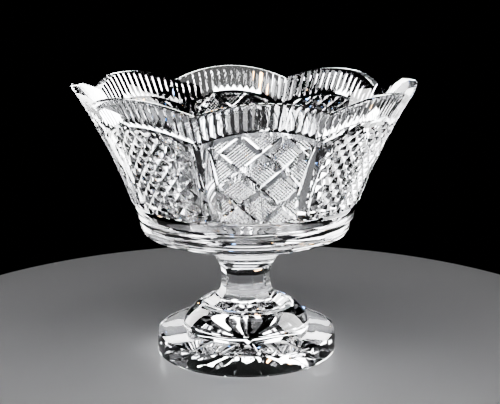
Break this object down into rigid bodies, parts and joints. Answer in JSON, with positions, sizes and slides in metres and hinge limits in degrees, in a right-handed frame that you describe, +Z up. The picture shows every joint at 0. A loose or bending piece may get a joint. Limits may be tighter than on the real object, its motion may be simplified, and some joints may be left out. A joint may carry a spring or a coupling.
{
  "type": "punch bowl",
  "caption": "Deep flared punch bowl with a scalloped rim, cut-glass wall, flat-cut stem and thick round star-cut foot; stands on a table and holds punch.",
  "frame": {"origin": "middle of the face that the foot rests on", "axes": "+Z up along the bowl's axis; the middle of one scallop, over a panel of large diamonds, faces -Y"},
  "size_m": [0.3, 0.3, 0.2413],
  "materials": {
    "bowl_glass": "polished, deeply cut lead crystal",
    "stem_glass": "polished flat-cut lead crystal",
    "foot_glass": "polished star-cut lead crystal"
  },
  "bodies": {
    "root": {"bowl": "bowl_glass", "collar": "stem_glass", "stem": "stem_glass", "foot_disc": "foot_glass", "foot": "foot_glass"}
  },
  "joints": []
}
